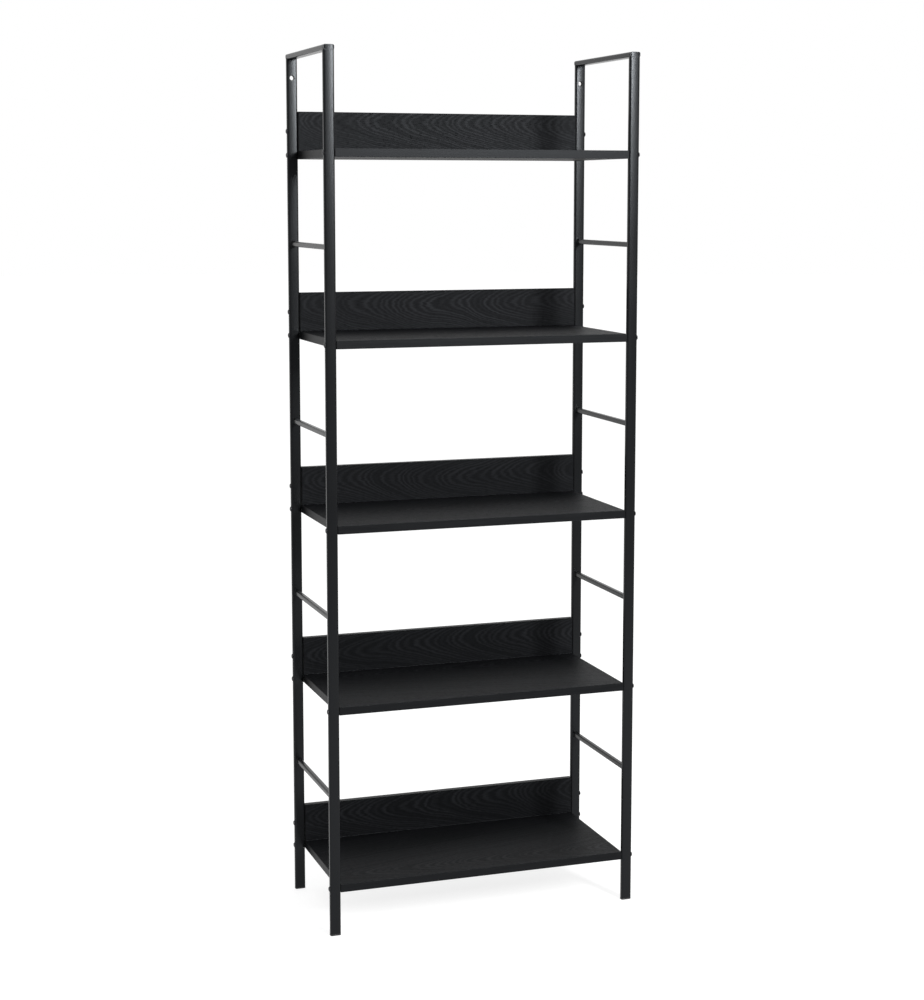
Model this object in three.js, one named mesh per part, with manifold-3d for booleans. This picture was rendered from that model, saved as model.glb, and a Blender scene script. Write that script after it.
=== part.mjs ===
// Ladder-frame bookcase: two welded steel ladders hold five boards, each with a low back panel.
// Millimetres, +Z up. X runs across the width, and the open front faces -Y. The origin is on the
// floor, at the centre of the footprint.
import * as THREE from "three";
import { mergeVertices } from "three/addons/utils/BufferGeometryUtils.js";
import Module from "manifold-3d";

const wasm = await Module();
wasm.setup();

// ---- Driving dimensions ----

// Overall size of the frame, over the posts and the top rails
const overallWidth = 600;
const overallDepth = 272;
const overallHeight = 1610;

// Flat steel tube of the posts and top rails
const tubeWidth = 20;
const tubeDepth = 10;
const tubeCorner = 3;
const tubeWall = 1.2;

// Rounded square steel bar of the rungs
const rungWidth = 10;
const rungHeight = 9.5;
const rungCorner = 3;
const rungLift = 3.5; // height of a rung above the middle of its bay

// Shelves: the underside of the lowest board, the frame above the highest one, and how much
// taller the top bay is than the others, which share what is left evenly
const shelfCount = 5;
const floorClearance = 81;
const frameAboveTopShelf = 194;
const topBayExtra = 5;
const boardThickness = 15;
const boardSetback = 1; // front edge behind the front face of the posts
const panelThickness = 12;
const panelHeight = 73;

// Furniture screws, driven from outside through the posts into the ends of the boards
const screwDiameter = 5;
const screwGrip = 30; // length of screw inside a board
const screwTip = 4;
const screwHeadDiameter = 9.5;
const screwHeadCrown = 5; // flat top of the domed head
const screwHeadHeight = 2.2;
const screwHeadRim = 0.8; // straight edge under the dome
const screwSocket = 3; // across the flats of the hexagon socket
const screwSocketDepth = 1.4;
const screwClearance = 0.6; // hole diameter over screw diameter

// Hole through each back post for the wall strap
const strapHoleDiameter = 9;
const strapHoleBelowTop = 44;

// Plastic plugs in the lower ends of the posts
const plugFlange = 3;
const plugInsert = 14;
const plugChamfer = 0.8;

// Clear gap between pieces that touch or are welded, and the ends of pieces that fit in others
const fitGap = 0.3;

// How finely round shapes are faceted
const cornerFacets = 3;
const screwFacets = 10;
const screwHoleFacets = 8;
const strapHoleFacets = 20;

// ---- Places worked out from the driving dimensions ----

const postX = overallWidth / 2 - tubeWidth / 2;
const postY = overallDepth / 2 - tubeDepth / 2;
const postFoot = plugFlange + fitGap;
const topShelfUnderside = overallHeight - frameAboveTopShelf;
const shelfPitch = (topShelfUnderside - topBayExtra - floorClearance) / (shelfCount - 1);
const boardLength = overallWidth - 2 * (tubeWidth + fitGap);
const boardDepth = overallDepth - boardSetback;
const screwHoleDiameter = screwDiameter + screwClearance;
const cutMargin = 1; // how far a cutting shape runs past what it cuts

// The underside of each board, from the top shelf down
const shelfUndersides = [topShelfUnderside];
for (let i = 1; i < shelfCount; i += 1) {
  shelfUndersides.push(topShelfUnderside - topBayExtra - i * shelfPitch);
}

// Heights of the screws: in the middle of each board's thickness and of each back panel
const boardScrewHeights = shelfUndersides.map((z) => z + boardThickness / 2);
const panelScrewHeights = shelfUndersides.map((z) => z + boardThickness + fitGap + panelHeight / 2);

const sides = [
  { name: "left", outward: -1 },
  { name: "right", outward: 1 },
];
const ends = [
  { name: "front", towards: -1 },
  { name: "back", towards: 1 },
];

// ---- Materials ----

const powderCoat = { color: 0x1a1b1d, roughness: 0.42, metalness: 0.2 };
const woodFoil = { color: 0x27282a, roughness: 0.5, metalness: 0 };
const screwFinish = { color: 0x1d1d1f, roughness: 0.35, metalness: 0.7 };
const plugPlastic = { color: 0x151516, roughness: 0.6, metalness: 0 };

// ---- Solids ----

// Turns a closed three.js geometry into a solid that can be joined and cut
function solidOf(geometry) {
  const bare = geometry.clone();
  bare.deleteAttribute("normal");
  bare.deleteAttribute("uv");
  const merged = mergeVertices(bare);
  return new wasm.Manifold(
    new wasm.Mesh({
      numProp: 3,
      vertProperties: merged.attributes.position.array,
      triVerts: new Uint32Array(merged.index.array),
    }),
  );
}

// Turns a solid back into a geometry
function geometryOf(solid) {
  const mesh = solid.getMesh();
  const geometry = new THREE.BufferGeometry();
  geometry.setAttribute("position", new THREE.BufferAttribute(mesh.vertProperties, mesh.numProp));
  geometry.setIndex(new THREE.BufferAttribute(mesh.triVerts, 1));
  const flat = geometry.toNonIndexed();
  flat.computeVertexNormals();
  return flat;
}

// A geometry with holes and notches cut out of it
function cut(geometry, cutters) {
  const rest = cutters.reduce((solid, cutter) => solid.subtract(solidOf(cutter)), solidOf(geometry));
  return geometryOf(rest);
}

// Adds a rectangle with rounded corners, centred on the origin, to a shape or a hole
function roundedRectangle(outline, width, height, radius) {
  const x = width / 2 - radius;
  const y = height / 2 - radius;
  const quarter = Math.PI / 2;
  outline.absarc(x, y, radius, 0, quarter);
  outline.absarc(-x, y, radius, quarter, 2 * quarter);
  outline.absarc(-x, -y, radius, 2 * quarter, 3 * quarter);
  outline.absarc(x, -y, radius, 3 * quarter, 4 * quarter);
  outline.closePath();
  return outline;
}

// A straight bar of a shape, standing on the XY plane
function barOf(shape, length) {
  return new THREE.ExtrudeGeometry(shape, {
    depth: length,
    bevelEnabled: false,
    curveSegments: cornerFacets,
  });
}

// A straight length of the flat tube, standing on the XY plane
function tubeOf(length) {
  const shape = roundedRectangle(new THREE.Shape(), tubeWidth, tubeDepth, tubeCorner);
  const bore = roundedRectangle(
    new THREE.Path(),
    tubeWidth - 2 * tubeWall,
    tubeDepth - 2 * tubeWall,
    tubeCorner - tubeWall,
  );
  shape.holes.push(bore);
  return barOf(shape, length);
}

// A prism whose outline lies in the YZ plane and which is as wide as the tube, and more
function prismAcrossTube(points) {
  const width = tubeWidth + 2 * cutMargin;
  const outline = new THREE.Shape(points.map(([y, z]) => new THREE.Vector2(y, z)));
  const turned = new THREE.Matrix4().makeBasis(
    new THREE.Vector3(0, 1, 0),
    new THREE.Vector3(0, 0, 1),
    new THREE.Vector3(1, 0, 0),
  );
  return barOf(outline, width).applyMatrix4(turned).translate(-width / 2, 0, 0);
}

// The drill of a screw hole, along X and centred at (x, y, z)
function screwDrill(length, x, y, z) {
  const radius = screwHoleDiameter / 2;
  const drill = new THREE.CylinderGeometry(radius, radius, length, screwHoleFacets);
  return drill.rotateZ(Math.PI / 2).translate(x, y, z);
}

// The drill of a hole for the wall strap, along Y through a post about its own axis
function strapDrill(z) {
  const radius = strapHoleDiameter / 2;
  const length = tubeDepth + 2 * cutMargin;
  const drill = new THREE.CylinderGeometry(radius, radius, length, strapHoleFacets);
  return drill.translate(0, 0, z);
}

// A post about its own axis, with its foot at z = 0. Its outer face is at -Y for a front post
// and at +Y for a back post, and only that face reaches the top, because the mitre falls away
// behind it. The heights of its screw holes and strap holes are measured from the floor.
function postGeometry(towards, screwHeights, strapHeights) {
  const length = overallHeight - postFoot;
  const outer = (towards * tubeDepth) / 2;
  const reach = tubeDepth + cutMargin;
  const mitre = prismAcrossTube([
    [outer + towards * cutMargin, length + cutMargin],
    [outer - towards * reach, length + cutMargin],
    [outer - towards * reach, length - reach],
  ]);
  const screwDrills = screwHeights.map((z) =>
    screwDrill(tubeWidth + 2 * cutMargin, 0, 0, z - postFoot),
  );
  const strapDrills = strapHeights.map((z) => strapDrill(z - postFoot));
  return cut(tubeOf(length), [mitre, ...screwDrills, ...strapDrills]);
}

// A top rail about its own axis, along Y, mitred at both ends to meet the posts
function railGeometry() {
  const rail = tubeOf(overallDepth).translate(0, 0, -overallDepth / 2).rotateX(-Math.PI / 2);
  const half = tubeDepth / 2;
  const weldGap = fitGap * Math.SQRT2;
  const mitres = ends.map(({ towards }) => {
    const tip = (towards * overallDepth) / 2;
    return prismAcrossTube([
      [tip + towards * cutMargin, half + cutMargin + weldGap],
      [tip + towards * cutMargin, -half - cutMargin],
      [tip - towards * (tubeDepth + cutMargin + weldGap), -half - cutMargin],
    ]);
  });
  return cut(rail, mitres);
}

// A rung about its own axis, along Y, between the two posts of a side
function rungGeometry() {
  const length = overallDepth - 2 * (tubeDepth + fitGap);
  const shape = roundedRectangle(new THREE.Shape(), rungWidth, rungHeight, rungCorner);
  return barOf(shape, length).translate(0, 0, -length / 2).rotateX(-Math.PI / 2);
}

// A board with its four screw holes, centred on its own middle
function boardGeometry() {
  const board = new THREE.BoxGeometry(boardLength, boardDepth, boardThickness);
  const drills = sides.flatMap(({ outward }) =>
    ends.map(({ towards }) => endDrill(outward, towards * postY - boardSetback / 2)),
  );
  return cut(board, drills);
}

// A back panel with its two screw holes, centred on its own middle
function panelGeometry() {
  const panel = new THREE.BoxGeometry(boardLength, panelThickness, panelHeight);
  const drills = sides.map(({ outward }) => endDrill(outward, panelThickness / 2 - tubeDepth / 2));
  return cut(panel, drills);
}

// The drill that makes a screw hole in the end of a board or panel
function endDrill(outward, y) {
  const depth = screwGrip + fitGap;
  const x = outward * (boardLength / 2 - depth / 2 + cutMargin / 2);
  return screwDrill(depth + cutMargin, x, y, 0);
}

// A screw along X: its head's seat is at x = 0, its head towards +X and its shank towards -X
function screwGeometry() {
  const shankLength = fitGap + tubeWidth + screwGrip;
  const radius = screwDiameter / 2;
  const headRadius = screwHeadDiameter / 2;
  const profile = [
    [0, -shankLength],
    [radius / 2, -shankLength],
    [radius, -shankLength + screwTip],
    [radius, 0],
    [headRadius, 0],
    [headRadius, screwHeadRim],
    [screwHeadCrown / 2, screwHeadHeight],
    [0, screwHeadHeight],
  ].map(([r, y]) => new THREE.Vector2(r, y));
  const body = new THREE.LatheGeometry(profile, screwFacets);
  const socketRadius = screwSocket / Math.sqrt(3);
  const socketLength = screwSocketDepth + cutMargin;
  const socket = new THREE.CylinderGeometry(socketRadius, socketRadius, socketLength, 6);
  socket.translate(0, screwHeadHeight - screwSocketDepth + socketLength / 2, 0);
  return cut(body, [socket]).rotateZ(-Math.PI / 2);
}

// A foot plug with its flange on the floor and its insert standing up in the tube
function plugGeometry() {
  const flange = roundedRectangle(
    new THREE.Shape(),
    tubeWidth - 2 * plugChamfer,
    tubeDepth - 2 * plugChamfer,
    tubeCorner - plugChamfer,
  );
  const insertInset = 2 * (tubeWall + fitGap);
  const insert = roundedRectangle(
    new THREE.Shape(),
    tubeWidth - insertInset,
    tubeDepth - insertInset,
    tubeCorner - tubeWall - fitGap,
  );
  const foot = new THREE.ExtrudeGeometry(flange, {
    depth: plugFlange - 2 * plugChamfer,
    bevelSize: plugChamfer,
    bevelThickness: plugChamfer,
    bevelSegments: 1,
    curveSegments: cornerFacets,
  }).translate(0, 0, plugChamfer);
  const shank = barOf(insert, plugInsert + plugFlange / 2).translate(0, 0, plugFlange / 2);
  return geometryOf(solidOf(foot).add(solidOf(shank)));
}

// ---- Assembly ----

const bookcase = new THREE.Group();

// Adds one named piece to a group, at a place
function addPiece(group, name, geometry, finish, x, y, z) {
  const piece = new THREE.Mesh(geometry, new THREE.MeshStandardMaterial(finish));
  piece.name = name;
  piece.position.set(x, y, z);
  group.add(piece);
  return piece;
}

// A side: two posts with their plugs, the top rail and a rung in each bay, all on the line x = 0
function addSide(side) {
  const ladder = new THREE.Group();
  ladder.position.x = side.outward * postX;
  bookcase.add(ladder);
  for (const { name, towards } of ends) {
    const isBack = name === "back";
    const screwHeights = isBack ? [...boardScrewHeights, ...panelScrewHeights] : boardScrewHeights;
    const strapHeights = isBack ? [overallHeight - strapHoleBelowTop] : [];
    const post = postGeometry(towards, screwHeights, strapHeights);
    const plug = plugGeometry();
    addPiece(ladder, `post_${side.name}_${name}`, post, powderCoat, 0, towards * postY, postFoot);
    addPiece(ladder, `foot_plug_${side.name}_${name}`, plug, plugPlastic, 0, towards * postY, 0);
  }
  const railZ = overallHeight - tubeDepth / 2;
  addPiece(ladder, `top_rail_${side.name}`, railGeometry(), powderCoat, 0, 0, railZ);
  for (let bay = 1; bay < shelfCount; bay += 1) {
    const bayTop = shelfUndersides[bay - 1];
    const bayFloor = shelfUndersides[bay] + boardThickness;
    const z = (bayTop + bayFloor) / 2 + rungLift;
    addPiece(ladder, `rung_${side.name}_${bay}`, rungGeometry(), powderCoat, 0, 0, z);
  }
}

// A shelf: its board, its back panel and the six screws that hold them
function addShelf(index) {
  const number = index + 1;
  const underside = shelfUndersides[index];
  const boardZ = underside + boardThickness / 2;
  const panelY = overallDepth / 2 - panelThickness / 2;
  const panelZ = panelScrewHeights[index];
  addPiece(bookcase, `shelf_board_${number}`, boardGeometry(), woodFoil, 0, boardSetback / 2, boardZ);
  addPiece(bookcase, `back_panel_${number}`, panelGeometry(), woodFoil, 0, panelY, panelZ);
  const places = [
    { name: "front", y: -postY, z: boardZ },
    { name: "back", y: postY, z: boardZ },
    { name: "panel", y: postY, z: panelZ },
  ];
  for (const side of sides) {
    for (const place of places) {
      const x = side.outward * (overallWidth / 2 + fitGap);
      const name = `screw_${side.name}_${place.name}_${number}`;
      const screw = addPiece(bookcase, name, screwGeometry(), screwFinish, x, place.y, place.z);
      screw.rotation.z = side.outward > 0 ? 0 : Math.PI;
    }
  }
}

sides.forEach(addSide);
shelfUndersides.forEach((_, index) => addShelf(index));

export default bookcase;
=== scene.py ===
# %% [markdown]
# # A ladder-frame bookcase
# Two welded steel ladders stand left and right, and five boards hang between them, each with a low
# panel on its back edge. The CAD part fixes every size. This lesson builds the surface that a
# buyer would see around it: rounded tube, drilled holes, banded boards, sockets in the screws,
# powder coat and black oak foil.

import math

import bmesh
import bpy
from mathutils import Matrix, Vector


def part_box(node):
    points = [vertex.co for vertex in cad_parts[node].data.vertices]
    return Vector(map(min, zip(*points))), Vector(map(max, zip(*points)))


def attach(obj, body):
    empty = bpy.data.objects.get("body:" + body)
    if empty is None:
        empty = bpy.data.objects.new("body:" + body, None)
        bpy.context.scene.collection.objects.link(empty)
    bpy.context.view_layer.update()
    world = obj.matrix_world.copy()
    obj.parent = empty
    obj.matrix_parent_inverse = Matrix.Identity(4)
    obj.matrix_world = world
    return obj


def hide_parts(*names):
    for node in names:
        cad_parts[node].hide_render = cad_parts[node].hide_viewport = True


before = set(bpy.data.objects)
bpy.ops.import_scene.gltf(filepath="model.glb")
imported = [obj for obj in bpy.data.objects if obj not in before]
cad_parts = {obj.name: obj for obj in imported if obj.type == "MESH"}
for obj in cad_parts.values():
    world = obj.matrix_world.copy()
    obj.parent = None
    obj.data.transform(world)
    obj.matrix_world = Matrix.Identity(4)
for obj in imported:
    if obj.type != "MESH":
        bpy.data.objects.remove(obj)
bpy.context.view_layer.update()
SIDES = ("left", "right")
ENDS = ("front", "back")
SHELVES = range(1, 6)
BAYS = range(1, 5)
print("CAD nodes:", len(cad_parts))

# %% [markdown]
# ## Shader maths in plain Python
# A finish is a web of nodes, and most of them only add or multiply. Wrapping a socket in a small
# class with the arithmetic operators lets a formula be written as a formula, and one method makes
# every other node.

# %% A socket that can be reckoned with
class Signal:
    """A number that changes over a surface: the output socket of a node."""

    def __init__(self, finish, socket):
        self.finish = finish
        self.socket = socket

    def reckon(self, operation, first, second=0.0):
        return self.finish.add("ShaderNodeMath", {"operation": operation}, {0: first, 1: second})

    def __add__(self, other):
        return self.reckon("ADD", self, other)

    def __sub__(self, other):
        return self.reckon("SUBTRACT", self, other)

    def __rsub__(self, other):
        return self.reckon("SUBTRACT", other, self)

    def __mul__(self, other):
        return self.reckon("MULTIPLY", self, other)

    def __truediv__(self, other):
        return self.reckon("DIVIDE", self, other)

    def __pow__(self, other):
        return self.reckon("POWER", self, other)

    __radd__ = __add__
    __rmul__ = __mul__

    def sine(self):
        return self.reckon("SINE", self)

    def clamped(self, low=0.0, high=1.0):
        return self.reckon("MINIMUM", self.reckon("MAXIMUM", self, low), high)

    def step_up(self, start, end):
        """Nought below start, one above end, and a smooth climb between them."""
        values = {"Value": self, "From Min": start, "From Max": end}
        settings = {"interpolation_type": "SMOOTHSTEP"}
        return self.finish.add("ShaderNodeMapRange", settings, values)


# %% A web of nodes, and a finish: the web of one material
class Web:
    """A node tree, and the methods that make its nodes."""

    def __init__(self, tree, coordinates):
        self.tree = tree
        self.place = self.add("ShaderNodeTexCoord", {}, {}, coordinates)

    def add(self, kind, settings, values, output=0):
        """Makes a node, sets it up, fills or links its sockets, and returns one output."""
        node = self.tree.nodes.new(kind)
        for key, value in settings.items():
            setattr(node, key, value)
        for key, value in values.items():
            if isinstance(value, Signal):
                self.tree.links.new(value.socket, node.inputs[key])
            else:
                node.inputs[key].default_value = value
        return Signal(self, node.outputs[output])

    def parts(self, where):
        """The X, Y and Z of a place."""
        node = self.add("ShaderNodeSeparateXYZ", {}, {"Vector": where}).socket.node
        return [Signal(self, socket) for socket in node.outputs]

    def stretched(self, scale, shift=(0.0, 0.0, 0.0)):
        """The place on the surface, stretched so that a pattern runs along the material."""
        values = {"Vector": self.place, "Scale": scale, "Location": shift}
        return self.add("ShaderNodeMapping", {}, values)

    def noise(self, where, scale, detail=2.0, roughness=0.5):
        values = {"Vector": where, "Scale": scale, "Detail": detail, "Roughness": roughness}
        return self.add("ShaderNodeTexNoise", {}, values, "Fac")

    def noise_along(self, number):
        """Noise along a line, read off at a number."""
        settings = {"noise_dimensions": "1D"}
        return self.add("ShaderNodeTexNoise", settings, {"W": number, "Scale": 1.0}, "Fac")

    def blend(self, share, first, second):
        """A colour between two others."""
        values = {0: share, 6: (*first, 1.0), 7: (*second, 1.0)}
        return self.add("ShaderNodeMix", {"data_type": "RGBA"}, values, 2)


class Finish(Web):
    """A procedural material on object coordinates, in metres."""

    def __init__(self, name, **constants):
        self.material = bpy.data.materials.new(name)
        self.material.use_nodes = True
        super().__init__(self.material.node_tree, "Object")
        self.skin = self.tree.nodes["Principled BSDF"]
        for socket, value in constants.items():
            self.skin.inputs[socket.replace("_", " ")].default_value = value

    def relief(self, height, distance):
        """Turns a height in the pattern into a relief of that many metres."""
        values = {"Height": height, "Distance": distance, "Strength": 1.0}
        return self.add("ShaderNodeBump", {}, values, "Normal")

    def wear(self, **sockets):
        """Links signals to the skin's sockets and returns the material."""
        for socket, value in sockets.items():
            self.tree.links.new(value.socket, self.skin.inputs[socket.replace("_", " ")])
        return self.material


# %% [markdown]
# ## Powder coat
# The steel is dusted with dry paint and baked. The paint flows into a satin film with a very fine
# orange peel, so the base colour is almost black and nearly all that the eye sees is gloss. A low
# index of refraction keeps faces that look at the viewer dark, while faces seen at a slant catch
# the studio.

# %% Satin black powder coat
COOL = (0.90, 0.95, 1.0, 1.0)


def powder_coat():
    coat = Finish("powder_coated_steel", Metallic=0.0, IOR=1.27, Specular_Tint=COOL)
    speck = coat.noise(coat.place, 2600.0, 1.0)
    peel = coat.noise(coat.place, 620.0, 2.0, 0.55)
    cloud = coat.noise(coat.place, 9.0, 3.0)
    tone = cloud * 0.6 + speck * 0.4
    colour = coat.blend(tone, (0.0018, 0.0019, 0.0022), (0.0044, 0.0046, 0.0050))
    gloss = 0.20 + cloud * 0.06 + speck * 0.04
    relief = coat.relief(peel * 0.8 + speck * 0.2, 0.00004)
    return coat.wear(Base_Color=colour, Roughness=gloss, Normal=relief)


steel = powder_coat()
print("made", steel.name)

# %% [markdown]
# ## Black oak foil
# The boards wear a printed and pressed foil. Flat-sawn oak shows nested arches where the saw ran
# through the rings, and long straight lines beside them. Rings are worked out as they are in a
# trunk: the distance from a pith that runs below the face, less a little for the trunk's taper,
# so the rings are cones. Cutting those cones with the flat face gives the arches by itself. Short
# dark pores run along the grain, and they are pressed in, so they show in the relief and the gloss
# as well as in the colour.

# %% Foil with flat-sawn grain
RING = 0.0031
TAPER = 0.19
PITH_DEPTH = 0.032
PORE_LENGTH = 0.009
SWAY_ACROSS = 0.022
SWAY_UP = 0.030
SWELL_REACH = 0.014
SHIVER_REACH = 0.0022
FEATHER_REACH = 0.012
PORE_DEPTH = 0.00005
FOIL_LIGHT = (0.0098, 0.0102, 0.0115)
FOIL_DARK = (0.0006, 0.0007, 0.0009)


def oak_foil(name, pith_y, pith_z, seed):
    """Grain along X, its arches closing towards the left, about a pith at pith_y and pith_z."""
    foil = Finish(name, Metallic=0.0, IOR=1.165, Specular_Tint=COOL)
    along, across, up = foil.parts(foil.place)
    slow = foil.stretched((3.0, 5.0, 5.0), shift=(seed * 3.1, seed, seed * 1.7))
    sway = foil.noise(slow, 1.0, 2.0, 0.5) - 0.5
    swell = foil.noise(foil.stretched((7.0, 2.0, 2.0), shift=(seed * 5.3, 0.0, 0.0)), 1.0, 2.0)
    off_across = across - pith_y + sway * SWAY_ACROSS
    off_up = up - pith_z + sway * SWAY_UP
    radius = (off_across * off_across + off_up * off_up) ** 0.5
    shiver = foil.noise(foil.stretched((42.0, 190.0, 190.0)), 1.0, 3.0, 0.65) - 0.5
    feather = foil.noise(foil.stretched((20.0, 480.0, 480.0)), 1.0, 2.0, 0.6)
    drawn_out = (along + feather * FEATHER_REACH) * TAPER
    rings = radius - drawn_out + (swell - 0.5) * SWELL_REACH + shiver * SHIVER_REACH
    count = rings / RING
    uneven = foil.noise_along(count * 0.31 + seed)
    vigour = foil.noise_along(count * 0.47 + seed * 2.0)
    ring = ((count + uneven * 1.1) * (2.0 * math.pi)).sine() * 0.5 + 0.5
    late_wood = ring ** 1.3 * vigour.step_up(0.10, 0.65)
    fibre = foil.noise(foil.stretched((26.0, 1000.0, 1000.0)), 1.0, 3.0, 0.65)
    pore = foil.noise(foil.stretched((1.0 / PORE_LENGTH, 1500.0, 1500.0)), 1.0, 1.0)
    pores = pore.step_up(0.56, 0.68)
    shade = foil.noise(foil.stretched((4.0, 11.0, 11.0), shift=(seed, seed, 0.0)), 1.0, 2.0)
    tone = late_wood * (shade * 1.2 + 0.05) + fibre * 0.30 + shade * 0.08 - pores * 0.35
    colour = foil.blend(tone.clamped(), FOIL_DARK, FOIL_LIGHT)
    gloss = 0.46 + (1.0 - late_wood) * 0.08 + pores * 0.14
    height = late_wood * 0.5 + fibre * 0.3 - pores * 0.9
    return foil.wear(Base_Color=colour, Roughness=gloss, Normal=foil.relief(height, PORE_DEPTH))


print("rings", RING, "m apart, arches", round(RING / TAPER, 4), "m apart")

# %% [markdown]
# The rim is another material: a plastic strip printed to go with the foil, smoother and glossier
# than the faces, with only a hint of fibre.

# %% Edging strip
def edging_strip():
    strip = Finish("black_edging_strip", Metallic=0.0, IOR=1.19, Specular_Tint=COOL)
    fibre = strip.noise(strip.stretched((18.0, 500.0, 500.0)), 1.0, 2.0, 0.6)
    colour = strip.blend(fibre, (0.0018, 0.0019, 0.0022), (0.0060, 0.0062, 0.0068))
    gloss = 0.34 + fibre * 0.14
    return strip.wear(Base_Color=colour, Roughness=gloss, Normal=strip.relief(fibre, 0.00002))


edging = edging_strip()
print("made", edging.name)

# %% [markdown]
# ## Screws and plugs
# The screws are blackened steel, so metal shows through the oxide, and the plugs are moulded matt
# plastic with the faint grain of an eroded mould.

# %% Blackened steel and moulded plastic
def black_oxide():
    oxide = Finish("blackened_screw_steel", Metallic=0.75)
    grain = oxide.noise(oxide.place, 1400.0, 2.0)
    colour = oxide.blend(grain, (0.020, 0.020, 0.022), (0.050, 0.050, 0.053))
    gloss = 0.30 + grain * 0.16
    return oxide.wear(Base_Color=colour, Roughness=gloss, Normal=oxide.relief(grain, 0.00002))


def moulded_plastic():
    plastic = Finish("black_plastic", Metallic=0.0, IOR=1.46)
    grain = plastic.noise(plastic.place, 1900.0, 2.0)
    colour = plastic.blend(grain, (0.010, 0.010, 0.011), (0.018, 0.018, 0.019))
    gloss = 0.52 + grain * 0.14
    return plastic.wear(Base_Color=colour, Roughness=gloss, Normal=plastic.relief(grain, 0.00003))


oxide = black_oxide()
plastic = moulded_plastic()
print("made", oxide.name, "and", plastic.name)

# %% [markdown]
# ## From a bmesh to a finished piece
# Every new piece ends the same way. Its modifiers are baked into its mesh, its corners are shaded
# smooth up to a sharp angle, it rides on the CAD body and stands for its CAD node.

# %% Finish a piece
BODY = "root"
SHARP = math.radians(32.0)


def new_piece(name, shape, finish):
    """Turns a bmesh into an object at the origin, with one material."""
    bmesh.ops.recalc_face_normals(shape, faces=shape.faces[:])
    mesh = bpy.data.meshes.new(name)
    shape.to_mesh(mesh)
    shape.free()
    mesh.materials.append(finish)
    piece = bpy.data.objects.new(name, mesh)
    bpy.context.scene.collection.objects.link(piece)
    return piece


def settle(piece):
    """Bakes a piece's modifiers into its mesh."""
    graph = bpy.context.evaluated_depsgraph_get()
    baked = bpy.data.meshes.new_from_object(piece.evaluated_get(graph))
    piece.modifiers.clear()
    piece.data = baked
    baked.name = piece.name
    return piece


def join_frame(piece, slot, *nodes):
    """Shades the piece, and ties it to the CAD."""
    mesh = piece.data
    mesh.shade_smooth()
    mesh.set_sharp_from_angle(angle=SHARP)
    weighted = piece.modifiers.new("flat faces stay flat", "WEIGHTED_NORMAL")
    weighted.keep_sharp = True
    settle(piece)
    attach(piece, BODY)
    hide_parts(*nodes)
    return piece


# %% [markdown]
# ## A rounded section
# Posts, rails, rungs and plugs all start from the same drawing: a rectangle with rounded corners.
# A grid of one cell is scaled to size and its four corners are bevelled as vertices, which gives
# true quarter circles, and then the outline is extruded.

# %% Section and prism
CORNER_STEPS = 7
CROWN_STEPS = 9


def rounded_section(width, depth, corner, crown=0.0):
    """A flat face in the XY plane, centred on the origin, its long sides slightly crowned."""
    shape = bmesh.new()
    bmesh.ops.create_grid(shape, x_segments=1, y_segments=1, size=0.5)
    bmesh.ops.scale(shape, vec=(width, depth, 1.0), verts=shape.verts)
    bmesh.ops.bevel(
        shape,
        geom=shape.verts[:],
        offset=corner,
        offset_type="OFFSET",
        affect="VERTICES",
        segments=CORNER_STEPS,
        profile=0.5,
        material=-1,
    )
    if crown:
        long_sides = [edge for edge in shape.edges if edge.calc_length() > width / 2.0]
        bmesh.ops.subdivide_edges(shape, edges=long_sides, cuts=CROWN_STEPS)
        for vert in shape.verts:
            sunk = crown * (vert.co.x / (width / 2.0)) ** 2
            vert.co.y *= 1.0 - sunk / (depth / 2.0)
    return shape


def extrude_up(shape, length):
    """Extrudes every face of a flat shape along Z."""
    made = bmesh.ops.extrude_face_region(shape, geom=shape.faces[:], use_keep_orig=True)
    moved = [item for item in made["geom"] if isinstance(item, bmesh.types.BMVert)]
    bmesh.ops.translate(shape, vec=(0.0, 0.0, length), verts=moved)
    bmesh.ops.recalc_face_normals(shape, faces=shape.faces[:])
    return shape


def cut_square(shape, point, normal):
    """Saws a shape along a plane, and throws away what lies on the normal's side."""
    everything = shape.verts[:] + shape.edges[:] + shape.faces[:]
    bmesh.ops.bisect_plane(
        shape, geom=everything, dist=1e-7, plane_co=point, plane_no=normal, clear_outer=True
    )
    return shape


# %% [markdown]
# ## Steel tube
# A tube is an open skin with its wall grown inwards. The ends are sawn first, so that post and
# rail meet in a mitre, and the wall is added afterwards, because then the sawn edge gets its own
# thin rim. Holes go in last with a boolean, through both walls at once, with a slight countersink
# where the drill was deburred.

# %% Tube and drill
TUBE_WALL = 0.0012
TUBE_CORNER = 0.0030
TUBE_CROWN = 0.00045
DEBUR = 0.0003
DRILL_STEPS = 40
GROUND_EDGE = 0.0003


def tube_skin(length, mitres):
    """A tube about the Z axis from z = 0, sawn off by each mitre (point, normal), ends open."""
    skin = extrude_up(rounded_section(TUBE_WIDTH, TUBE_DEPTH, TUBE_CORNER, TUBE_CROWN), length)
    for point, normal in mitres:
        cut_square(skin, point, normal)
    lids = [face for face in skin.faces if abs(face.normal.z) > 0.5]
    bmesh.ops.delete(skin, geom=lids, context="FACES_ONLY")
    return skin


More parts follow.
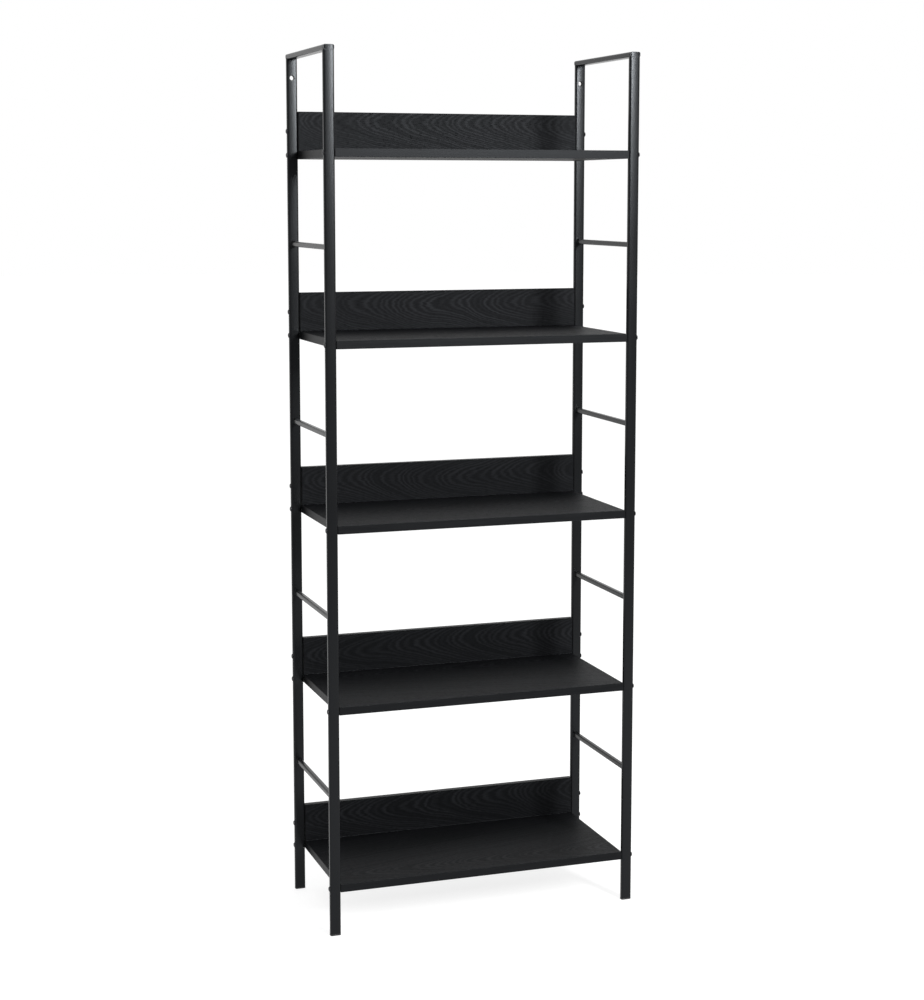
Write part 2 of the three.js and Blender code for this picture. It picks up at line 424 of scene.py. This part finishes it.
def drill(radius, centre, axis, depth):
    """A cutter along an axis, a little wider where it meets each face of the tube."""
    cutter = bmesh.new()
    outside = depth / 2.0 + DEBUR
    inside = depth / 2.0 - DEBUR
    mouth = radius + 2.0 * DEBUR
    profile = (
        (0.0, outside),
        (mouth, outside),
        (radius, inside),
        (radius, -inside),
        (mouth, -outside),
        (0.0, -outside),
    )
    corners = [cutter.verts.new((r, 0.0, z)) for r, z in profile]
    edges = [cutter.edges.new(pair) for pair in zip(corners, corners[1:])]
    bmesh.ops.spin(
        cutter,
        geom=corners + edges,
        cent=(0.0, 0.0, 0.0),
        axis=(0.0, 0.0, 1.0),
        angle=2.0 * math.pi,
        steps=DRILL_STEPS,
        use_merge=True,
    )
    bmesh.ops.remove_doubles(cutter, verts=cutter.verts[:], dist=1e-7)
    turn = Vector((0.0, 0.0, 1.0)).rotation_difference(Vector(axis)).to_matrix().to_4x4()
    bmesh.ops.transform(cutter, matrix=Matrix.Translation(centre) @ turn, verts=cutter.verts)
    return new_piece("drill", cutter, steel)


def walled(piece, cutters):
    """Gives a tube skin its wall, and drills it."""
    wall = piece.modifiers.new("wall", "SOLIDIFY")
    wall.thickness = TUBE_WALL
    wall.offset = -1.0
    wall.use_even_offset = True
    rim = piece.modifiers.new("ground edge", "BEVEL")
    rim.width = GROUND_EDGE
    rim.segments = 2
    rim.limit_method = "ANGLE"
    rim.angle_limit = SHARP
    settle(piece)
    for cutter in cutters:
        hole = piece.modifiers.new("hole", "BOOLEAN")
        hole.operation = "DIFFERENCE"
        hole.solver = "EXACT"
        hole.object = cutter
        settle(piece)
        bpy.data.objects.remove(cutter)
    return piece


# %% Sizes that the tube takes from the CAD
post_low, post_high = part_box("post_left_front")
rail_low, rail_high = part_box("top_rail_left")
TUBE_WIDTH = post_high.x - post_low.x
TUBE_DEPTH = post_high.y - post_low.y
FRAME_TOP = post_high.z
POST_FOOT = post_low.z
FRONT_FACE = post_low.y
BACK_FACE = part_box("post_left_back")[1].y
SCREW_HOLE = 0.0028
STRAP_HOLE = 0.0045
STRAP_DROP = 0.044
STRAP_HEIGHT = FRAME_TOP - STRAP_DROP
print("tube", round(TUBE_WIDTH, 4), "x", round(TUBE_DEPTH, 4), "m")
print("frame", round(FRAME_TOP, 3), "m high")

# %% [markdown]
# ## Posts
# Each post stands on its plug and ends in a mitre, so only its outer face reaches the full height.
# The screws pass through it from side to side, and the back posts have one more hole, from front
# to back, for the wall strap.

# %% Build the posts
def middle(node):
    low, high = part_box(node)
    return (low + high) / 2.0


def screw_nodes(side, end):
    kinds = ("front",) if end == "front" else ("back", "panel")
    return [f"screw_{side}_{kind}_{shelf}" for kind in kinds for shelf in SHELVES]


def build_post(side, end):
    centre = middle(f"post_{side}_{end}")
    outward = -1.0 if end == "front" else 1.0
    length = FRAME_TOP - POST_FOOT
    tip = Vector((0.0, outward * TUBE_DEPTH / 2.0, length))
    skin = tube_skin(length + TUBE_DEPTH, [(tip, Vector((0.0, -outward, 1.0)))])
    bmesh.ops.translate(skin, vec=(centre.x, centre.y, POST_FOOT), verts=skin.verts)
    piece = new_piece(f"steel_post_{side}_{end}", skin, steel)
    cutters = []
    for node in screw_nodes(side, end):
        hole = Vector((centre.x, centre.y, middle(node).z))
        cutters.append(drill(SCREW_HOLE, hole, (1.0, 0.0, 0.0), TUBE_WIDTH))
    if end == "back":
        hole = Vector((centre.x, centre.y, STRAP_HEIGHT))
        cutters.append(drill(STRAP_HOLE, hole, (0.0, 1.0, 0.0), TUBE_DEPTH))
    walled(piece, cutters)
    return join_frame(piece, "powder_coated_steel", f"post_{side}_{end}")


posts = [build_post(side, end) for side in SIDES for end in ENDS]
print("posts:", [len(post.data.polygons) for post in posts], "faces")

# %% [markdown]
# ## Top rails
# A rail is the same tube lying down. It is built standing, sawn at 45 degrees at both ends, then
# laid along Y. Its mitres meet those of the posts, and the welds are ground flush under the paint.

# %% Build the rails
def build_rail(side):
    span = BACK_FACE - FRONT_FACE
    half = TUBE_DEPTH / 2.0
    near = (Vector((0.0, -half, 0.0)), Vector((0.0, -1.0, -1.0)))
    far = (Vector((0.0, -half, span)), Vector((0.0, -1.0, 1.0)))
    skin = tube_skin(span, [near, far])
    lay = Matrix.Rotation(-math.pi / 2.0, 4, "X")
    place = Matrix.Translation((middle(f"top_rail_{side}").x, FRONT_FACE, FRAME_TOP - half))
    bmesh.ops.transform(skin, matrix=place @ lay, verts=skin.verts)
    piece = new_piece(f"steel_rail_{side}", skin, steel)
    walled(piece, [])
    return join_frame(piece, "powder_coated_steel", f"top_rail_{side}")


rails = [build_rail(side) for side in SIDES]
print("rails:", [[round(v, 4) for v in rail.dimensions] for rail in rails])

# %% [markdown]
# ## Rungs
# A rung is a rounded square bar welded between two posts. The bead of weld is part of the same
# mesh: near each end the outline is extruded in short steps that swell towards the post, which
# leaves the hollow fillet that a weld has.

# %% Build the rungs
RUNG_CORNER = 0.0030
WELD_REACH = 0.0026
WELD_SWELL = 1.22
WELD_STATIONS = (0.0, 0.10, 0.28, 0.55, 1.0)


def build_rung(side, bay):
    node = f"rung_{side}_{bay}"
    low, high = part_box(node)
    width, height = high.x - low.x, high.z - low.z
    start, end = FRONT_FACE + TUBE_DEPTH, BACK_FACE - TUBE_DEPTH
    bar = rounded_section(width, height, RUNG_CORNER)
    rim = next(iter(bar.faces))
    swell = [(WELD_REACH * s, 1.0 + (WELD_SWELL - 1.0) * (1.0 - s) ** 2) for s in WELD_STATIONS]
    length = end - start
    steps = swell + [(length - at, size) for at, size in reversed(swell)]
    bmesh.ops.scale(bar, vec=(steps[0][1], steps[0][1], 1.0), verts=rim.verts)
    size_now, at_now = steps[0][1], 0.0
    tip = rim
    for at, size in steps[1:]:
        made = bmesh.ops.extrude_face_region(bar, geom=[tip], use_keep_orig=tip is rim)
        moved = [item for item in made["geom"] if isinstance(item, bmesh.types.BMVert)]
        bmesh.ops.translate(bar, vec=(0.0, 0.0, at - at_now), verts=moved)
        ratio = size / size_now
        bmesh.ops.scale(bar, vec=(ratio, ratio, 1.0), verts=moved)
        tip = [item for item in made["geom"] if isinstance(item, bmesh.types.BMFace)][0]
        size_now, at_now = size, at
    lay = Matrix.Rotation(-math.pi / 2.0, 4, "X")
    centre = middle(node)
    place = Matrix.Translation((centre.x, start, centre.z))
    bmesh.ops.transform(bar, matrix=place @ lay, verts=bar.verts)
    piece = new_piece(f"steel_{node}", bar, steel)
    return join_frame(piece, "powder_coated_steel", node)


rungs = [build_rung(side, bay) for side in SIDES for bay in BAYS]
print("rungs:", len(rungs), "of", len(rungs[0].data.polygons), "faces")

# %% [markdown]
# ## Boards and panels
# A furniture board is a core faced with foil, and a strip of edging is ironed round its rim. The
# edging is its own piece here, a thin ring about the core, because the fine line between the two
# is what tells a real board from a painted block.

# %% Core and edging
BAND = 0.0010
EASE = 0.0005
CORE_EASE = 0.4 * EASE


def board_core(name, low, high, finish):
    """A block inside the edging, with its long edges barely broken."""
    core = bmesh.new()
    bmesh.ops.create_cube(core, size=1.0)
    size = high - low
    bmesh.ops.scale(core, vec=size, verts=core.verts)
    bmesh.ops.translate(core, vec=(low + high) / 2.0, verts=core.verts)
    bmesh.ops.bevel(
        core,
        geom=core.edges[:],
        offset=CORE_EASE,
        offset_type="OFFSET",
        affect="EDGES",
        segments=2,
        profile=0.5,
        material=-1,
    )
    return new_piece(name, core, finish)


def edging_ring(name, low, high, thin, finish):
    """A strip round the rim of a board whose thin side lies along axis number thin."""
    ring = bmesh.new()
    flat = [axis for axis in range(3) if axis != thin]
    size = high - low
    bmesh.ops.create_grid(ring, x_segments=1, y_segments=1, size=0.5)
    bmesh.ops.scale(ring, vec=(size[flat[0]], size[flat[1]], 1.0), verts=ring.verts)
    bmesh.ops.inset_region(
        ring, faces=ring.faces[:], thickness=BAND, use_even_offset=True, use_boundary=True
    )
    inner = min(ring.faces, key=lambda face: face.calc_center_median().length)
    bmesh.ops.delete(ring, geom=[inner], context="FACES_ONLY")
    extrude_up(ring, size[thin])
    outer = [
        edge
        for edge in ring.edges
        if len(edge.link_faces) == 2 and edge.calc_face_angle(0.0) > 1.0
    ]
    bmesh.ops.bevel(
        ring,
        geom=outer,
        offset=EASE,
        offset_type="OFFSET",
        affect="EDGES",
        segments=3,
        profile=0.5,
        material=-1,
    )
    columns = [Vector((0.0, 0.0, 0.0)) for _ in range(3)]
    columns[0][flat[0]] = 1.0
    columns[1][flat[1]] = 1.0
    columns[2][thin] = 1.0
    turn = Matrix(columns).transposed().to_4x4()
    base = (low + high) / 2.0
    base[thin] = low[thin]
    bmesh.ops.transform(ring, matrix=Matrix.Translation(base) @ turn, verts=ring.verts)
    return new_piece(name, ring, finish)


def build_banded(node, label, thin, low, high, finish):
    """A core and its edging for one board or panel."""
    inset = Vector((BAND, BAND, BAND))
    inset[thin] = 0.0
    core = board_core(f"{label}_core", low + inset, high - inset, finish)
    ring = edging_ring(f"{label}_edging", low, high, thin, edging)
    for piece in (core, ring):
        join_frame(piece, "black_wood_foil", node)
    return core, ring


# %% [markdown]
# Each board and each panel is cut from its own trunk: the pith wanders from one to the next, and a
# seed shifts the noise.

# %% Build the boards and panels
BOARD_PITH_WANDER = 0.10
PANEL_PITH_HEIGHT = 0.048
PANEL_PITH_WANDER = 0.008
boards = []
for shelf in SHELVES:
    low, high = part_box(f"shelf_board_{shelf}")
    board_top = high.z
    foil = oak_foil(
        f"board_foil_{shelf}",
        BOARD_PITH_WANDER * math.sin(shelf * 2.1),
        board_top - PITH_DEPTH,
        shelf * 1.37,
    )
    boards += build_banded(f"shelf_board_{shelf}", f"board_{shelf}", 2, low, high, foil)
    low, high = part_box(f"back_panel_{shelf}")
    low.z = board_top
    foil = oak_foil(
        f"panel_foil_{shelf}",
        low.y + PITH_DEPTH,
        low.z + PANEL_PITH_HEIGHT + PANEL_PITH_WANDER * math.sin(shelf * 1.3),
        shelf * 2.71 + 0.6,
    )
    boards += build_banded(f"back_panel_{shelf}", f"panel_{shelf}", 1, low, high, foil)
print("boards and panels:", len(boards), "pieces")

# %% [markdown]
# ## Screws
# A furniture screw has a low dome with a hexagon socket. The socket's floor comes first, its walls
# are drawn up, the six edges are split until they can be bridged to a round crown, and then the
# rim is extruded again and again, outwards and down, until it has become dome, seat and shank.

# %% Build the screws
HEAD_RADIUS = 0.0045
CROWN_RADIUS = 0.0024
HEAD_HEIGHT = 0.0018
HEAD_RIM = 0.0005
SOCKET_RADIUS = 0.00175
SOCKET_DEPTH = 0.0012
SOCKET_LIP = 0.0002
SEAT_EDGE = 0.0001
SHANK_RADIUS = 0.0025
TIP_LENGTH = 0.004
ROUND_STEPS = 36
DOME_STEPS = 7


def grow(shape, rim, radius_now, radius, drop):
    """Extrudes a round rim, scales it to a new radius and moves it along Z."""
    made = bmesh.ops.extrude_edge_only(shape, edges=rim)
    moved = [item for item in made["geom"] if isinstance(item, bmesh.types.BMVert)]
    ratio = radius / radius_now
    bmesh.ops.scale(shape, vec=(ratio, ratio, 1.0), verts=moved)
    bmesh.ops.translate(shape, vec=(0.0, 0.0, drop), verts=moved)
    edges = [item for item in made["geom"] if isinstance(item, bmesh.types.BMEdge)]
    return [edge for edge in edges if all(vert in moved for vert in edge.verts)]


def screw_shape(length):
    """A screw along Z: its seat at z = 0, its head above and its shank below."""
    screw = bmesh.new()
    floor = HEAD_HEIGHT - SOCKET_DEPTH
    bmesh.ops.create_circle(screw, cap_ends=True, segments=6, radius=SOCKET_RADIUS)
    bmesh.ops.translate(screw, vec=(0.0, 0.0, floor), verts=screw.verts)
    rim = grow(screw, screw.edges[:], SOCKET_RADIUS, SOCKET_RADIUS, SOCKET_DEPTH - SOCKET_LIP)
    rim = grow(screw, rim, SOCKET_RADIUS, SOCKET_RADIUS + SOCKET_LIP, SOCKET_LIP)
    cuts = ROUND_STEPS // 6 - 1
    split = bmesh.ops.subdivide_edges(screw, edges=rim, cuts=cuts)
    pieces = set(split["geom_inner"] + split["geom_split"])
    edges = [item for item in pieces if isinstance(item, bmesh.types.BMEdge)]
    hexagon = [edge for edge in edges if edge.is_boundary]
    crown = bmesh.ops.create_circle(
        screw, cap_ends=False, segments=ROUND_STEPS, radius=CROWN_RADIUS
    )
    bmesh.ops.translate(screw, vec=(0.0, 0.0, HEAD_HEIGHT), verts=crown["verts"])
    rim = list({edge for vert in crown["verts"] for edge in vert.link_edges})
    bmesh.ops.bridge_loops(screw, edges=hexagon + rim)
    radius = CROWN_RADIUS
    height = HEAD_HEIGHT
    for step in range(1, DOME_STEPS + 1):
        angle = step / DOME_STEPS * math.pi / 2.0
        new_radius = CROWN_RADIUS + (HEAD_RADIUS - CROWN_RADIUS) * math.sin(angle)
        new_height = HEAD_RIM + (HEAD_HEIGHT - HEAD_RIM) * math.cos(angle)
        rim = grow(screw, rim, radius, new_radius, new_height - height)
        radius, height = new_radius, new_height
    rim = grow(screw, rim, radius, radius, SEAT_EDGE - height)
    rim = grow(screw, rim, radius, radius - SEAT_EDGE, -SEAT_EDGE)
    rim = grow(screw, rim, radius - SEAT_EDGE, SHANK_RADIUS, 0.0)
    rim = grow(screw, rim, SHANK_RADIUS, SHANK_RADIUS, TIP_LENGTH - length)
    rim = grow(screw, rim, SHANK_RADIUS, SHANK_RADIUS / 2.0, -TIP_LENGTH)
    bmesh.ops.holes_fill(screw, edges=rim, sides=ROUND_STEPS)
    return screw


def build_screw(node):
    low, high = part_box(node)
    outward = 1.0 if high.x > 0.0 else -1.0
    seat = outward * (middle("post_right_front").x + TUBE_WIDTH / 2.0)
    tip = low.x if outward > 0.0 else high.x
    screw = screw_shape(abs(seat - tip))
    turn = Vector((0.0, 0.0, 1.0)).rotation_difference(Vector((outward, 0.0, 0.0)))
    centre = middle(node)
    place = Matrix.Translation((seat, centre.y, centre.z)) @ turn.to_matrix().to_4x4()
    bmesh.ops.transform(screw, matrix=place, verts=screw.verts)
    piece = new_piece(f"furniture_{node}", screw, oxide)
    return join_frame(piece, "blackened_screw_steel", node)


screws = [
    build_screw(node)
    for side in SIDES
    for end in ENDS
    for node in screw_nodes(side, end)
]
print("screws:", len(screws), "of", len(screws[0].data.polygons), "faces")

# %% [markdown]
# ## Foot plugs
# The open end of each post is closed by a plastic plug: a flange that the bookcase stands on, with
# its lower rim rounded, and a shorter insert that grips the inside of the tube.

# %% Build the plugs
PLUG_ROUND = 0.0009
PLUG_GAP = 0.0003
PLUG_INSERT = 0.014


def build_plug(side, end):
    node = f"foot_plug_{side}_{end}"
    low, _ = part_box(node)
    centre = middle(node)
    flange = extrude_up(rounded_section(TUBE_WIDTH, TUBE_DEPTH, TUBE_CORNER), POST_FOOT - PLUG_GAP)
    bottom = [edge for edge in flange.edges if all(abs(vert.co.z) < 1e-7 for vert in edge.verts)]
    bmesh.ops.bevel(
        flange,
        geom=bottom,
        offset=PLUG_ROUND,
        offset_type="OFFSET",
        affect="EDGES",
        segments=4,
        profile=0.5,
        material=-1,
    )
    lid = max(flange.faces, key=lambda face: face.calc_center_median().z)
    bmesh.ops.inset_region(
        flange, faces=[lid], thickness=TUBE_WALL + PLUG_GAP, use_even_offset=True
    )
    made = bmesh.ops.extrude_face_region(flange, geom=[lid])
    moved = [item for item in made["geom"] if isinstance(item, bmesh.types.BMVert)]
    bmesh.ops.translate(flange, vec=(0.0, 0.0, PLUG_INSERT), verts=moved)
    bmesh.ops.translate(flange, vec=(centre.x, centre.y, low.z), verts=flange.verts)
    piece = new_piece(f"plastic_{node}", flange, plastic)
    return join_frame(piece, "black_plastic", node)


plugs = [build_plug(side, end) for side in SIDES for end in ENDS]
print("plugs:", len(plugs))

# %% [markdown]
# ## Studio
# The floor is a sheet of lit white acrylic, so it stays pale even under the lowest board. The
# world around is white too, because black gloss only shows its shape by what it reflects. In
# front of the bookcase both are dimmed to a light grey, which keeps the fronts of the posts
# dark. One narrow soft box stands high in front, and a wide one hangs overhead.

# %% Floor
DIM = 0.55
LIT_FROM = (-4.0, -0.6)
FLOOR_RADIUS = 30.0
FLOOR_DROP = 0.0004


def pale_floor():
    sheet = Finish("pale_floor", Metallic=0.0, Roughness=0.85, Emission_Strength=0.80)
    sheet.skin.inputs["Specular IOR Level"].default_value = 0.1
    depth = sheet.parts(sheet.place)[1]
    near = depth.step_up(*LIT_FROM)
    paper = sheet.blend(near, (0.10, 0.10, 0.10), (0.28, 0.28, 0.28))
    glow = sheet.blend(near, (DIM, DIM, DIM), (1.0, 1.0, 1.0))
    return sheet.wear(Base_Color=paper, Emission_Color=glow)


floor_shape = bmesh.new()
bmesh.ops.create_circle(floor_shape, cap_ends=True, segments=96, radius=FLOOR_RADIUS)
bmesh.ops.translate(floor_shape, vec=(0.0, 0.0, -FLOOR_DROP), verts=floor_shape.verts)
floor = new_piece("floor", floor_shape, pale_floor())

# %% World
world = bpy.data.worlds.new("studio")
bpy.context.scene.world = world
world.use_nodes = True
DIM_UNTIL, LIT_BEYOND = -0.8, 0.3
room = Web(world.node_tree, "Generated")
toward_back = room.parts(room.place)[1].step_up(DIM_UNTIL, LIT_BEYOND)
walls = room.blend(toward_back, (DIM, DIM, DIM), (1.0, 1.0, 1.0))
room.tree.links.new(walls.socket, room.tree.nodes["Background"].inputs["Color"])

# %% Soft boxes
def soft_box(name, place, target, width, height, power):
    lamp = bpy.data.lights.new(name, "AREA")
    lamp.shape = "RECTANGLE"
    lamp.size = width
    lamp.size_y = height
    lamp.energy = power
    box = bpy.data.objects.new(name, lamp)
    box.location = place
    box.rotation_mode = "QUATERNION"
    box.rotation_quaternion = (Vector(target) - Vector(place)).to_track_quat("-Z", "Y")
    bpy.context.scene.collection.objects.link(box)
    return box


soft_box("strip_front", (1.14, -3.31, 2.30), (0.0, 0.0, 1.45), 0.55, 1.10, 190.0)
soft_box("overhead", (0.0, -0.9, 3.6), (0.0, 0.0, 0.8), 2.4, 2.0, 50.0)

# %% [markdown]
# ## Camera
# The camera stands a little left of the middle, at chest height, and looks slightly down. A long
# lens keeps the posts nearly upright.

# %% Camera
EYE = Vector((-1.1989, -3.4972, 1.3510))
YAW = math.radians(18.939)
PITCH = math.radians(-7.169)
FOCAL_SHARE = 1.9691
SHIFT = -0.058
SENSOR = 36.0
lens = bpy.data.cameras.new("camera")
lens.sensor_fit = "AUTO"
lens.sensor_width = SENSOR
lens.lens = FOCAL_SHARE * SENSOR
lens.shift_y = SHIFT
lens.clip_start = 0.05
lens.clip_end = 100.0
camera = bpy.data.objects.new("camera", lens)
sight = Vector(
    (math.sin(YAW) * math.cos(PITCH), math.cos(YAW) * math.cos(PITCH), math.sin(PITCH))
)
camera.location = EYE
camera.rotation_mode = "QUATERNION"
camera.rotation_quaternion = sight.to_track_quat("-Z", "Y")
bpy.context.scene.collection.objects.link(camera)
bpy.context.scene.camera = camera
bpy.context.scene.view_settings.view_transform = "Standard"
print("lens", round(lens.lens, 1), "mm")
